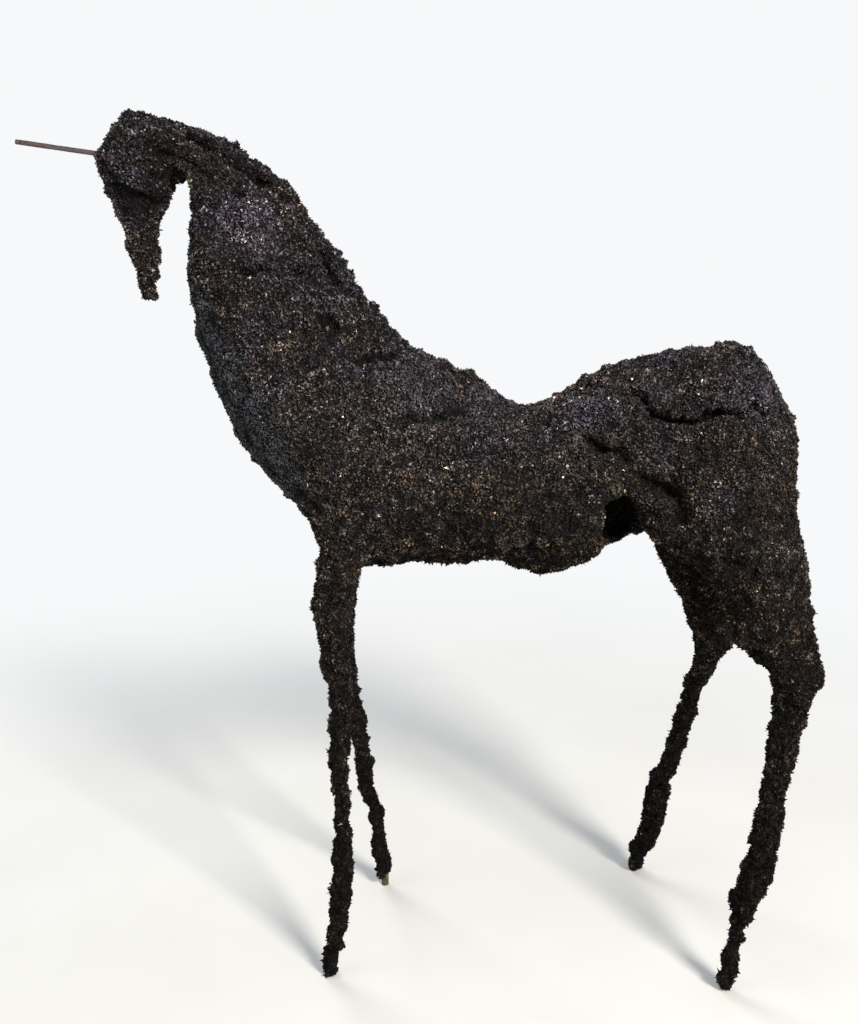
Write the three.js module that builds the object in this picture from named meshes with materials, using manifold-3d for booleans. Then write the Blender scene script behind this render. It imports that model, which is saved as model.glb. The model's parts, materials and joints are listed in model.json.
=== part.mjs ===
// A standing unicorn of dark metal chips bonded over a bar frame, with a plain steel bar for its horn.
// Millimetres, +Z up. The head points to -X, the animal's left side is at -Y, and it stands on Z = 0.
import * as THREE from "three";
import { mergeVertices } from "three/addons/utils/BufferGeometryUtils.js";
import Module from "manifold-3d";

const wasm = await Module();
wasm.setup();

// Driving sizes
const HEIGHT = 1820; // floor to poll
const HORN_DIAMETER = 10;
const HORN_REACH = 162; // forehead to tip
const HORN_SOCKET = 45; // depth inside the head
const BAR_DIAMETER = 18; // bare frame bar under the right fore leg
const BAR_REACH = 28; // floor to the end of the crust
const BAR_SOCKET = 42; // depth inside the leg
const FIT_GAP = 0.4; // between a bar and the crust around it
const LUMP_SIZE = 66; // one swelling of the crust to the next, on the trunk
const LUMP_RISE = 7;
const KNOB_SIZE = 38; // the same on the limbs
const KNOB_RISE = 3.6;

// Facets
const TRUNK_SIDES = 28;
const FORE_SIDES = 11;
const HIND_SIDES = 15;
const BAR_SIDES = 20;
const TRUNK_STEP = 33;
const LIMB_STEP = 27;

// Where the horn meets the forehead, its rise above level, and where the bare bar stands.
// Shares below are hundredths of the height.
const SHARE = HEIGHT / 100;
const HORN_ROOT = { x: -36.4, z: 95.45 };
const HORN_RISE_DEG = 8;
const BAR_FOOT = { x: -6.05, y: 9.5 };

// The trunk from muzzle to buttock, as pairs of points in the side view with a ring of skin round each:
// outer x, z (forehead, crest, back), inner x, z (chin, throat, chest, belly), half breadth, and
// how far the breadth sits towards the inner side.
const TRUNK = [
  [-32.4, 79.8, -30.7, 79.9, 0.9, 0],
  [-32.6, 81.0, -30.9, 81.0, 0.85, 0],
  [-33.4, 84.6, -30.3, 84.0, 1.25, 0],
  [-34.1, 86.8, -30.3, 86.4, 1.65, 0],
  [-34.8, 89.3, -29.8, 88.3, 2.1, 0],
  [-35.4, 91.0, -28.7, 90.5, 3.2, 0],
  [-36.3, 93.7, -27.9, 91.9, 3.7, 0],
  [-36.6, 95.7, -27.4, 92.5, 3.7, 0],
  [-35.3, 97.6, -26.9, 92.8, 3.5, 0.05],
  [-33.8, 99.4, -26.7, 92.8, 3.3, 0.1],
  [-31.9, 100.4, -26.5, 92.7, 3.2, 0.1],
  [-29.1, 99.6, -26.4, 92.3, 3.3, 0.1],
  [-25.0, 98.3, -26.3, 91.2, 3.6, 0.15],
  [-21.4, 96.5, -26.2, 89.2, 4.1, 0.2],
  [-17.8, 93.9, -26.6, 85.7, 4.7, 0.25],
  [-14.2, 90.4, -26.9, 81.0, 5.4, 0.28],
  [-11.0, 86.2, -26.3, 75.8, 6.1, 0.3],
  [-7.7, 81.6, -24.6, 70.1, 6.8, 0.3],
  [-4.3, 77.0, -21.5, 63.0, 7.5, 0.28],
  [0.1, 73.7, -16.8, 57.6, 8.2, 0.24],
  [4.7, 71.4, -13.4, 52.2, 8.8, 0.2],
  [7.7, 69.4, -10.7, 49.2, 9.2, 0.15],
  [9.9, 68.3, -4.1, 49.0, 9.5, 0.1],
  [11.6, 67.7, 3.3, 49.5, 9.6, 0.08],
  [13.2, 68.1, 8.8, 49.3, 9.4, 0.06],
  [14.8, 68.9, 13.8, 47.7, 9.1, 0.06],
  [17.4, 70.7, 17.9, 48.6, 8.6, 0.04],
  [20.3, 72.4, 21.2, 51.0, 8.0, 0],
  [24.1, 73.5, 24.7, 52.6, 8.0, 0],
  [27.5, 74.1, 28.6, 52.7, 8.6, 0],
  [31.6, 74.5, 33.0, 53.0, 9.0, 0],
  [35.7, 74.9, 37.6, 53.8, 8.6, 0],
  [38.3, 72.7, 40.4, 56.0, 7.4, 0],
  [40.2, 69.5, 41.8, 59.3, 5.4, 0],
  [41.4, 66.7, 42.2, 62.4, 2.8, 0],
];

// Each limb from inside the trunk to the floor: height, front x, back x, middle y, half breadth.
// Y is negative on the left.
const LEFT_FORE = [
  [61.5, -12.4, -3.8, -4.0, 2.7],
  [57.1, -13.2, -4.9, -5.1, 3.3],
  [52.7, -13.0, -6.5, -6.2, 3.2],
  [49.5, -12.9, -7.6, -6.9, 2.7],
  [46.5, -13.3, -8.2, -7.3, 2.4],
  [42.4, -12.6, -8.8, -7.6, 1.9],
  [38.8, -12.2, -8.9, -7.7, 1.6],
  [35.3, -11.8, -8.9, -8.0, 1.5],
  [31.0, -11.6, -9.0, -8.2, 1.3],
  [27.4, -11.8, -9.3, -8.4, 1.2],
  [21.8, -11.4, -9.2, -8.7, 1.15],
  [16.1, -11.4, -8.9, -9.1, 1.2],
  [10.3, -11.7, -9.3, -9.4, 1.15],
  [6.4, -12.0, -9.7, -9.7, 1.1],
  [2.5, -12.6, -10.6, -10.0, 0.95],
  [0, -12.8, -11.1, -10.2, 0.85],
];
const RIGHT_FORE = [
  [61.5, -12.4, -3.8, 4.0, 2.7],
  [57.1, -13.4, -4.9, 5.1, 3.3],
  [52.7, -13.2, -6.5, 6.1, 3.2],
  [49.5, -12.9, -7.8, 6.7, 2.7],
  [46.5, -12.9, -8.9, 7.0, 2.4],
  [42.4, -12.6, -9.4, 7.2, 1.9],
  [38.8, -12.4, -9.5, 7.3, 1.65],
  [32.4, -12.2, -9.4, 7.4, 1.5],
  [28.0, -11.6, -8.7, 7.6, 1.4],
  [23.6, -10.8, -8.0, 7.9, 1.3],
  [19.2, -9.8, -7.3, 8.3, 1.2],
  [14.6, -9.3, -7.2, 8.7, 1.1],
  [9.9, -8.4, -6.2, 9.1, 1.1],
  [5.2, -8.0, -5.6, 9.4, 1.15],
  [2.9, -7.3, -5.1, 9.5, 1.05],
  [BAR_REACH / SHARE, -6.9, -5.2, 9.5, 0.8],
];
const LEFT_HIND = [
  [64.8, 27.5, 40.4, -4.1, 3.4],
  [61.0, 25.0, 41.4, -4.7, 4.2],
  [57.7, 24.1, 41.9, -5.1, 4.5],
  [54.7, 24.1, 42.3, -5.3, 4.6],
  [52.2, 26.6, 42.7, -5.6, 4.4],
  [49.7, 30.6, 43.0, -6.0, 4.1],
  [46.7, 32.8, 43.4, -6.6, 3.7],
  [42.9, 34.1, 43.8, -7.6, 3.4],
  [41.2, 35.1, 44.1, -8.0, 3.2],
  [39.6, 37.3, 44.4, -8.5, 2.9],
  [37.8, 38.8, 44.7, -9.1, 2.7],
  [35.7, 39.1, 44.0, -9.5, 2.4],
  [33.5, 38.9, 43.1, -9.9, 2.1],
  [32.0, 38.6, 42.4, -10.2, 1.9],
  [28.5, 38.5, 41.8, -10.6, 1.75],
  [24.9, 38.2, 41.1, -10.9, 1.6],
  [21.3, 37.4, 40.9, -11.2, 1.85],
  [17.6, 37.2, 40.4, -11.5, 1.7],
  [13.9, 36.2, 39.7, -11.8, 1.7],
  [12.0, 35.2, 38.6, -12.0, 1.65],
  [10.2, 35.5, 37.9, -12.1, 1.25],
  [6.4, 35.0, 37.1, -12.4, 1.05],
  [2.6, 34.2, 36.2, -12.7, 1.0],
  [0, 34.1, 36.0, -12.9, 0.95],
];
const RIGHT_HIND = [
  [64.8, 27.5, 40.4, 4.1, 3.4],
  [61.0, 25.3, 41.0, 4.7, 4.2],
  [57.7, 25.0, 41.2, 5.1, 4.5],
  [52.7, 26.4, 41.3, 5.7, 4.4],
  [49.1, 28.1, 40.5, 6.4, 4.1],
  [45.3, 30.1, 39.9, 7.2, 3.6],
  [41.4, 32.0, 40.2, 8.1, 3.1],
  [37.9, 33.6, 39.7, 8.9, 2.7],
  [35.7, 34.7, 39.2, 9.4, 2.4],
  [34.1, 35.1, 38.6, 9.9, 2.1],
  [31.9, 34.6, 38.0, 10.1, 1.75],
  [27.5, 33.6, 36.4, 10.6, 1.4],
  [22.3, 32.3, 35.1, 11.0, 1.35],
  [17.6, 31.4, 34.1, 11.4, 1.3],
  [13.0, 29.8, 33.1, 11.9, 1.6],
  [8.2, 29.5, 32.6, 12.3, 1.7],
  [3.3, 28.2, 31.1, 12.8, 1.55],
  [0.8, 28.2, 30.1, 13.1, 1.0],
  [0, 28.2, 30.0, 13.2, 0.95],
];

// The pocket between belly and thigh on each side: middle x, y, z and half sizes.
const FLANK_POCKET = { x: 21.6, y: 7.2, z: 55.2, along: 2.1, deep: 3.6, high: 3.4 };

// A repeatable random number from 0 to 1 for each point of a lattice.
function scatter(i, j, k) {
  const wave = Math.sin(i * 127.1 + j * 311.7 + k * 74.7) * 43758.5453;
  return wave - Math.floor(wave);
}

// Smooth random swellings from -1 to 1, one lattice step across.
function swelling(point, size) {
  const cell = [point.x, point.y, point.z].map((v) => Math.floor(v / size));
  const inside = [point.x, point.y, point.z].map((v, axis) => {
    const share = v / size - cell[axis];
    return share * share * (3 - 2 * share);
  });
  let sum = 0;
  for (let corner = 0; corner < 8; corner++) {
    const step = [corner & 1, (corner >> 1) & 1, (corner >> 2) & 1];
    const weight = step.reduce((w, s, axis) => w * (s ? inside[axis] : 1 - inside[axis]), 1);
    sum += weight * scatter(cell[0] + step[0], cell[1] + step[1], cell[2] + step[2]);
  }
  return 2 * sum - 1;
}

// Rows read off a smooth curve through the stations, about one spacing apart.
function sampled(stations, gap, spacing) {
  const at = [0];
  for (let i = 1; i < stations.length; i++) at.push(at[i - 1] + gap(stations[i - 1], stations[i]));
  const curve = new THREE.CubicInterpolant(at, stations.flat(), stations[0].length);
  const last = at[at.length - 1];
  const count = Math.round((last * SHARE) / spacing);
  return Array.from({ length: count + 1 }, (_, i) => Array.from(curve.evaluate((last * i) / count)));
}

// A closed ring of points, pushed in and out by the swellings of the crust.
function ring(middle, sides, size, rise, place) {
  return Array.from({ length: sides }, (_, i) => {
    const point = place((2 * Math.PI * i) / sides);
    const away = point.clone().sub(middle);
    return point.addScaledVector(away.normalize(), rise * swelling(point, size));
  });
}

function trunkRings() {
  const half = ([ax, az, bx, bz], [cx, cz, dx, dz]) =>
    (Math.hypot(cx - ax, cz - az) + Math.hypot(dx - bx, dz - bz)) / 2;
  return sampled(TRUNK, half, TRUNK_STEP).map(([ox, oz, ix, iz, breadth, lean]) => {
    const outer = new THREE.Vector3(ox, 0, oz).multiplyScalar(SHARE);
    const inner = new THREE.Vector3(ix, 0, iz).multiplyScalar(SHARE);
    const middle = outer.clone().add(inner).divideScalar(2);
    const reach = outer.clone().sub(middle);
    const rise = Math.min(LUMP_RISE, breadth * SHARE * 0.12);
    return ring(middle, TRUNK_SIDES, LUMP_SIZE, rise, (angle) => {
      const side = breadth * SHARE * Math.sin(angle) * (1 - lean * Math.cos(angle));
      return middle.clone().addScaledVector(reach, Math.cos(angle)).setY(side);
    });
  });
}

function limbRings(stations, sides) {
  const drop = ([above], [below]) => above - below;
  return sampled(stations, drop, LIMB_STEP).map(([z, front, back, y, breadth]) => {
    const middle = new THREE.Vector3((front + back) / 2, y, z).multiplyScalar(SHARE);
    const depth = ((back - front) / 2) * SHARE;
    return ring(middle, sides, KNOB_SIZE, KNOB_RISE, (angle) =>
      middle.clone().add(new THREE.Vector3(depth * Math.cos(angle), breadth * SHARE * Math.sin(angle), 0)),
    );
  });
}

// A closed skin over rings, with a fan of triangles over each end.
function skin(rings) {
  const sides = rings[0].length;
  const points = rings.flat();
  const faces = [];
  for (let r = 0; r + 1 < rings.length; r++) {
    for (let s = 0; s < sides; s++) {
      const [a, b] = [r * sides + s, r * sides + ((s + 1) % sides)];
      faces.push(a, b, b + sides, a, b + sides, a + sides);
    }
  }
  for (const [start, turn] of [[0, -1], [(rings.length - 1) * sides, 1]]) {
    const rim = points.slice(start, start + sides);
    const hub = points.push(rim.reduce((sum, p) => sum.add(p), new THREE.Vector3()).divideScalar(sides)) - 1;
    for (let s = 0; s < sides; s++) {
      const [a, b] = [start + s, start + ((s + 1) % sides)];
      faces.push(...(turn > 0 ? [hub, a, b] : [hub, b, a]));
    }
  }
  return new THREE.BufferGeometry().setFromPoints(points).setIndex(faces);
}

// A closed geometry as a solid that can be joined and cut. A skin that faces inwards is turned round.
function solid(geometry) {
  const bare = geometry.clone();
  bare.deleteAttribute("normal");
  bare.deleteAttribute("uv");
  const merged = mergeVertices(bare, 1e-3);
  const triVerts = new Uint32Array(merged.index.array);
  const made = new wasm.Manifold(
    new wasm.Mesh({ numProp: 3, vertProperties: merged.attributes.position.array, triVerts }),
  );
  if (made.volume() > 0) return made;
  for (let i = 0; i < triVerts.length; i += 3) {
    [triVerts[i + 1], triVerts[i + 2]] = [triVerts[i + 2], triVerts[i + 1]];
  }
  return new wasm.Manifold(
    new wasm.Mesh({ numProp: 3, vertProperties: merged.attributes.position.array, triVerts }),
  );
}

function geometryOf(made) {
  const { vertProperties, triVerts } = made.getMesh();
  return new THREE.BufferGeometry()
    .setAttribute("position", new THREE.BufferAttribute(vertProperties, 3))
    .setIndex(new THREE.BufferAttribute(triVerts, 1));
}

function flankPocket(side) {
  const { x, y, z, along, deep, high } = FLANK_POCKET;
  return new THREE.SphereGeometry(1, 12, 8)
    .scale(along * SHARE, deep * SHARE, high * SHARE)
    .translate(x * SHARE, side * y * SHARE, z * SHARE);
}

// A round bar along +Z from its lower end.
function bar(diameter, length) {
  return new THREE.CylinderGeometry(diameter / 2, diameter / 2, length, BAR_SIDES)
    .rotateX(Math.PI / 2)
    .translate(0, 0, length / 2);
}

// The horn's bar runs out of its socket along this turn and start.
const hornTurn = new THREE.Matrix4().makeRotationY(-Math.PI / 2 + THREE.MathUtils.degToRad(HORN_RISE_DEG));
const hornRoot = new THREE.Vector3(HORN_ROOT.x * SHARE, 0, HORN_ROOT.z * SHARE);

function hornBar(diameter, below, above) {
  return bar(diameter, below + above)
    .translate(0, 0, -below)
    .applyMatrix4(hornTurn)
    .translate(hornRoot.x, hornRoot.y, hornRoot.z);
}

function footBar(diameter, length) {
  return bar(diameter, length).translate(BAR_FOOT.x * SHARE, BAR_FOOT.y * SHARE, 0);
}

function crustedBody() {
  let made = solid(skin(trunkRings()));
  for (const [stations, sides] of [
    [LEFT_FORE, FORE_SIDES],
    [RIGHT_FORE, FORE_SIDES],
    [LEFT_HIND, HIND_SIDES],
    [RIGHT_HIND, HIND_SIDES],
  ]) {
    made = made.add(solid(skin(limbRings(stations, sides))));
  }
  for (const side of [-1, 1]) made = made.subtract(solid(flankPocket(side)));
  const clear = 2 * FIT_GAP;
  made = made.subtract(solid(hornBar(HORN_DIAMETER + clear, HORN_SOCKET + FIT_GAP, HORN_REACH)));
  made = made.subtract(solid(footBar(BAR_DIAMETER + clear, BAR_REACH + BAR_SOCKET + FIT_GAP)));
  return geometryOf(made);
}

const chips = new THREE.MeshStandardMaterial({ color: 0x2b2521, roughness: 0.6, metalness: 0.35 });
const hornSteel = new THREE.MeshStandardMaterial({ color: 0x6a5548, roughness: 0.5, metalness: 0.7 });
const barSteel = new THREE.MeshStandardMaterial({ color: 0x6b5a3c, roughness: 0.75, metalness: 0.4 });

function piece(name, geometry, material) {
  const mesh = new THREE.Mesh(geometry, material);
  mesh.name = name;
  return mesh;
}

const statue = new THREE.Group();
statue.add(
  piece("body", crustedBody(), chips),
  piece("horn", hornBar(HORN_DIAMETER, HORN_SOCKET, HORN_REACH), hornSteel),
  piece("right_fore_foot_bar", footBar(BAR_DIAMETER, BAR_REACH + BAR_SOCKET), barSteel),
);

// The origin is on the floor under the middle of the whole statue.
const extent = new THREE.Box3().setFromObject(statue);
statue.position.set(-(extent.min.x + extent.max.x) / 2, -(extent.min.y + extent.max.y) / 2, 0);

const unicorn = new THREE.Group();
unicorn.add(statue);

export default unicorn;
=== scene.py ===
import json
import math

import bpy
import numpy as np
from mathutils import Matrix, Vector, noise

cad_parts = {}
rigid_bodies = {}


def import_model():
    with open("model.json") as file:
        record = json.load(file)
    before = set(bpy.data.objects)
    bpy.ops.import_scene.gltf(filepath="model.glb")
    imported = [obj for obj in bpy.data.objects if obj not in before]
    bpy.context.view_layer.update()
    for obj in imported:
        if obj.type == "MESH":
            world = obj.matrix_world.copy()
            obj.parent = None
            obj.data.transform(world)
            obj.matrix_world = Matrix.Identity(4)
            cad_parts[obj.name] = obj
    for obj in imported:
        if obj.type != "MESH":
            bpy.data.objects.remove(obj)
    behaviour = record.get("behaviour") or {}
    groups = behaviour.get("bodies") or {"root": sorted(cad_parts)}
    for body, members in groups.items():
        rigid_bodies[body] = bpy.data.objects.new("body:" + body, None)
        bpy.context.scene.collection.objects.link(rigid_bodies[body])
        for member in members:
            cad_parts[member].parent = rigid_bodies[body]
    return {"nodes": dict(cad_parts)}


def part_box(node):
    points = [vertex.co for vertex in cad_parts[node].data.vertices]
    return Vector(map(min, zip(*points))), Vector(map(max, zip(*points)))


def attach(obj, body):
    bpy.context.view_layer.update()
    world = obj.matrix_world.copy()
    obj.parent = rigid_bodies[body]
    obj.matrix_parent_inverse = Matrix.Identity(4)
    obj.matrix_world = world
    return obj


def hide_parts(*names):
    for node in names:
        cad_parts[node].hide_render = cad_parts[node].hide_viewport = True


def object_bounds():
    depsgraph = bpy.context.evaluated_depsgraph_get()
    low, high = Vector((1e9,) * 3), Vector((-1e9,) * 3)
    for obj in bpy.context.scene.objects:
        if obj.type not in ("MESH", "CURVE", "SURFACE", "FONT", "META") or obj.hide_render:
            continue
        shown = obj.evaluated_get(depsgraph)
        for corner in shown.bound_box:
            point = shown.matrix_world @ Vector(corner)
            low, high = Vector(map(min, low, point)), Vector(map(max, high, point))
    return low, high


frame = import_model()
cad_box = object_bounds()

# A standing unicorn, crusted all over in chips of dark iron scale, with a plain rusty bar for its horn.
# Metres, +Z up. The head points to -X, the animal's left side is at -Y.

# The viewer stands on the animal's left and looks slightly down.
EYE = (0.0049, -2.3054, 1.55)
LOOK_DOWN_DEG = 13.398
LENS = 38.67
FILM = 36.0

# The light of the surround at the horizon and overhead
SURROUND = (0.93, 0.94, 0.95)
ZENITH = (0.42, 0.47, 0.57)

# The crust under its loose chips
GRAIN = 0.0068  # spacing of the crust's own mesh
WELD = 0.00001  # corners of the solid this close together are one point
INSET = 0.0022  # the chips stand this far proud of the crust
FLOOR_GAP = 0.0012  # the crust stays this far above the floor
CHIP_GAP = 0.0003  # and its chips this far

# Steel bars
HORN_RISE_DEG = 8.0
HORN_DIAMETER = 0.010
HORN_SOCKET = 0.045
HORN_BEVEL = 0.0008
FOOT_BEVEL = 0.0012
LEG_END = 0.028  # height of the crust's lower end round the foot bar
BAR_SIDES = 40
BAR_STEP = 0.003  # a bar has a ring of points every so far

# Rods that fill the bars' sockets before the crust is meshed
PLUG_SIDES = 16
HORN_PLUG_RADIUS = 0.008
FOOT_PLUG_RADIUS = 0.012
PLUG_SHORT = 0.004
PLUG_SINK = 0.003
PLUG_LIFT = 0.001

# Where the limbs run into the trunk: soft edges under, over, before and behind
THIGH_ROOT = ((0.86, 0.96), (1.20, 1.28), (0.38, 0.46))
SHOULDER_ROOT = ((0.84, 0.90), (1.06, 1.14), (-0.32, -0.27), (-0.05, 0.02))
SMOOTHING = 0.5
ROOT_ROUNDS = 45
ALL_ROUNDS = 4

# Soft edges of other regions: from which height to which they fade in or out
SHRUNK_LEGS = (0.70, 0.80)
LIMBS_END = (0.80, 0.92)
THORNS_END = (0.84, 0.96)
FLANKS_START = (0.86, 0.96)
LOW_END = (1.00, 1.12)
# The lower body's painted highlight on knobs and its deeper painted shade in valleys end here
LOWER_RELIEF_END = (1.00, 1.14)
BACK_START = (1.10, 1.20)
CREST_START = (1.24, 1.32)
CREST_END = (-0.10, 0.00)  # along the body, counted towards the head
CREST_THORNS = (1.25, 1.35)
NOSE = (1.30, 1.40)
NOSE_END = (1.60, 1.66)
NOSE_TO = -0.48  # along the body
CHIPS_START = (0.0055, 0.0080)
THORNS_START = (0.012, 0.018)
UPWARD = (0.2, 0.9)  # from which slope to which a face counts as facing up

NEAR_CORE = 0.25  # a patch or nudge is at full strength out to this share of its reach

# How edges waver: how far apart the bends are, and how far they reach
BROAD_WAVER = (0.045, 0.006)
FINE_WAVER = (0.014, 0.003)
RIM_WAVER = (0.030, 0.006)
PATCH_WAVER = (0.035, 0.012)
WAVER_SEED = 1

# Borders between the regions of loose chips
LEG_TOP = 0.86
FORE_LEGS_TO = 0.2
HIND_FROM = 0.28
THIGH_TOP = 1.10
FORE_TO = -0.14
FORE_FROM_HEIGHT = 1.02
NECK_TOP = 1.48


def take(piece):
    """Makes a piece the only one selected, so that operators act on it alone."""
    bpy.ops.object.select_all(action="DESELECT")
    piece.select_set(True)
    bpy.context.view_layer.objects.active = piece


def apply_modifier(piece, kind, **settings):
    """Adds a modifier with these settings and applies it."""
    take(piece)
    modifier = piece.modifiers.new(kind.lower(), kind)
    for name, value in settings.items():
        setattr(modifier, name, value)
    bpy.ops.object.modifier_apply(modifier=modifier.name)


def read_points(piece, what="co"):
    """The places, or the normals, of a mesh's points, one row each."""
    values = np.empty(len(piece.data.vertices) * 3)
    piece.data.vertices.foreach_get(what, values)
    return values.reshape(-1, 3)


def move_points(piece, points):
    piece.data.vertices.foreach_set("co", points.ravel())
    piece.data.update()


def clipped(values):
    return np.clip(values, 0.0, 1.0)


def ramp_up(values, start, end):
    """0 before start, 1 past end, smooth between."""
    share = clipped((values - start) / (end - start))
    return share * share * (3 - 2 * share)


def near(points, middle, reach):
    """1 round a middle, 0 past its reach, smooth between."""
    far = np.linalg.norm(points - np.array(middle), axis=1) / reach
    return 1 - ramp_up(far, NEAR_CORE, 1.0)


def weigh(piece, name, weights):
    """A vertex group with one weight for each point."""
    group = piece.vertex_groups.new(name=name)
    for index in np.flatnonzero(weights > 0.001):
        group.add([int(index)], float(weights[index]), "REPLACE")


def wobble(points, size, reach):
    """The points, each shifted at random by up to reach, the same way within about size."""
    return points + reach * np.array([noise.noise_vector(Vector(p / size)) for p in points])


def from_line(points, line):
    """Each point's distance from a line, its height over the line and its share of the way along it."""
    best = np.full(len(points), np.inf)
    over = np.zeros(len(points))
    along = np.zeros(len(points))
    stretches = len(line) - 1
    for number, (start, end) in enumerate(zip(line, line[1:])):
        start = np.array(start)
        run = np.array(end) - start
        share = clipped((points - start) @ run / (run @ run))
        away = points - start - share[:, None] * run
        distance = np.linalg.norm(away, axis=1)
        closer = distance < best
        best[closer] = distance[closer]
        over[closer] = away[closer, 2]
        along[closer] = (number + share[closer]) / stretches
    return best, over, along


def mirrored(line, along=0.0, up=0.0):
    """The same line on the other flank, shifted a little."""
    return [(x + along, -y, z + up) for x, y, z in line]


def tapered(along):
    """Full strength along the middle of a line, fading at its two ends."""
    return np.sqrt(np.sin(math.pi * np.clip(along, 0.03, 0.97)))


# Cracks in the crust
CREST_CRACK = [
    (-0.476, -0.038, 1.782), (-0.460, -0.040, 1.776), (-0.445, -0.044, 1.765), (-0.429, -0.047, 1.755),
    (-0.414, -0.050, 1.745),
]
NAPE_CRACK = [
    (-0.399, -0.058, 1.728), (-0.385, -0.057, 1.722), (-0.365, -0.052, 1.714), (-0.348, -0.049, 1.703),
    (-0.328, -0.044, 1.690), (-0.303, -0.038, 1.676), (-0.291, -0.033, 1.668), (-0.274, -0.034, 1.648),
]
THROAT_CRACK = [(-0.382, -0.072, 1.672), (-0.369, -0.070, 1.666), (-0.352, -0.068, 1.655)]
THROAT_NICK = [(-0.428, -0.087, 1.641), (-0.410, -0.088, 1.627)]
JAW_FOLD = [
    (-0.543, -0.069, 1.744), (-0.517, -0.068, 1.738), (-0.487, -0.066, 1.727), (-0.459, -0.066, 1.717),
    (-0.442, -0.072, 1.704), (-0.426, -0.076, 1.691), (-0.414, -0.078, 1.679),
]
UNDER_JAW = [(-0.529, -0.062, 1.689), (-0.511, -0.052, 1.689), (-0.492, -0.042, 1.692)]
BROW_DENT = [(-0.621, -0.064, 1.718), (-0.618, -0.062, 1.706)]
NECK_CREASE = [
    (-0.387, -0.108, 1.516), (-0.353, -0.113, 1.508), (-0.321, -0.108, 1.516), (-0.290, -0.104, 1.510),
]
MANE_CREASE = [
    (-0.217, -0.049, 1.550), (-0.194, -0.046, 1.519), (-0.178, -0.047, 1.499), (-0.164, -0.054, 1.472),
]
MANE_STEP = [
    (-0.228, -0.098, 1.442), (-0.205, -0.098, 1.419), (-0.190, -0.094, 1.413), (-0.170, -0.091, 1.395),
]
NECK_PITS = [(-0.265, -0.084, 1.515), (-0.252, -0.083, 1.500)]
WITHER_CREASE = [
    (-0.148, -0.106, 1.335), (-0.121, -0.090, 1.345), (-0.080, -0.073, 1.346), (-0.050, -0.057, 1.348),
]
SHOULDER_CREASE = [(-0.063, -0.135, 1.231), (0.007, -0.124, 1.219), (0.088, -0.086, 1.244)]
LOIN_CRACK = [
    (0.311, -0.130, 1.193), (0.322, -0.137, 1.181), (0.342, -0.142, 1.171), (0.369, -0.147, 1.162),
    (0.387, -0.149, 1.158), (0.397, -0.148, 1.144),
]
LOIN_DENT = [(0.389, -0.149, 1.159), (0.397, -0.149, 1.150), (0.404, -0.148, 1.139)]
FLANK_CRACK = [(0.412, -0.148, 1.118), (0.424, -0.147, 1.106), (0.440, -0.146, 1.096)]
FLANK_FOLD = [(0.439, -0.146, 1.096), (0.458, -0.143, 1.086), (0.477, -0.143, 1.078)]
THIGH_PIT = [
    (0.485, -0.146, 1.074), (0.500, -0.156, 1.062), (0.507, -0.162, 1.046), (0.506, -0.164, 1.022),
]
UNDER_CHEEK = [
    (-0.612, -0.050, 1.654), (-0.588, -0.056, 1.642), (-0.567, -0.054, 1.634), (-0.547, -0.046, 1.634),
    (-0.529, -0.040, 1.650),
]
THIGH_CREASE = [
    (0.515, -0.149, 0.951), (0.562, -0.169, 0.942), (0.610, -0.180, 0.932), (0.659, -0.185, 0.925),
]
CROUP_DENTS = [(0.553, -0.133, 1.283), (0.558, -0.133, 1.279)]
TAIL_DENT = [(0.624, -0.120, 1.305), (0.634, -0.120, 1.304)]
# Painted shade only, with no dent, on the side of the croup that turns away from the light
CROUP_SHADE = [(0.742, -0.105, 1.262), (0.755, -0.120, 1.160)]

# Line, depth, half width
CRACKS = [
    (CREST_CRACK, 0.025, 0.0095),
    (NAPE_CRACK, 0.027, 0.0095),
    (JAW_FOLD, 0.012, 0.0075),
    (THROAT_CRACK, 0.020, 0.0080),
    (THROAT_NICK, 0.014, 0.0080),
    (NECK_CREASE, 0.018, 0.0085),
    (MANE_CREASE, 0.026, 0.0120),
    (MANE_STEP, 0.022, 0.0105),
    (NECK_PITS, 0.018, 0.0095),
    (WITHER_CREASE, 0.026, 0.0105),
    (SHOULDER_CREASE, 0.020, 0.0100),
    (LOIN_CRACK, 0.024, 0.0080),
    (FLANK_CRACK, 0.009, 0.0080),
    (mirrored(CREST_CRACK, 0.012, -0.006), 0.010, 0.009),
    (mirrored(MANE_CREASE, -0.015, 0.02), 0.006, 0.010),
    (mirrored(SHOULDER_CREASE, 0.03, -0.01), 0.006, 0.010),
    (mirrored(LOIN_CRACK, 0.02, 0.01), 0.008, 0.009),
]

# Line, depth, half width, how dark the painted shade in it is
FOLDS = [
    (LOIN_DENT, 0.012, 0.013, 1.00),
    (FLANK_FOLD, 0.018, 0.021, 1.00),
    (THIGH_PIT, 0.022, 0.019, 1.00),
    (CROUP_SHADE, 0.000, 0.070, 0.55),
    (JAW_FOLD, 0.005, 0.015, 0.45),
    (UNDER_JAW, 0.005, 0.018, 0.80),
    (UNDER_CHEEK, 0.005, 0.028, 0.90),
    (BROW_DENT, 0.004, 0.013, 0.60),
    (THIGH_CREASE, 0.010, 0.012, 0.50),
    (CROUP_DENTS, 0.008, 0.011, 0.70),
    (TAIL_DENT, 0.006, 0.010, 0.60),
    (mirrored(FLANK_FOLD, 0.01, 0.0), 0.020, 0.022, 0.60),
    (mirrored(UNDER_CHEEK), 0.004, 0.024, 0.70),
]

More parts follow.
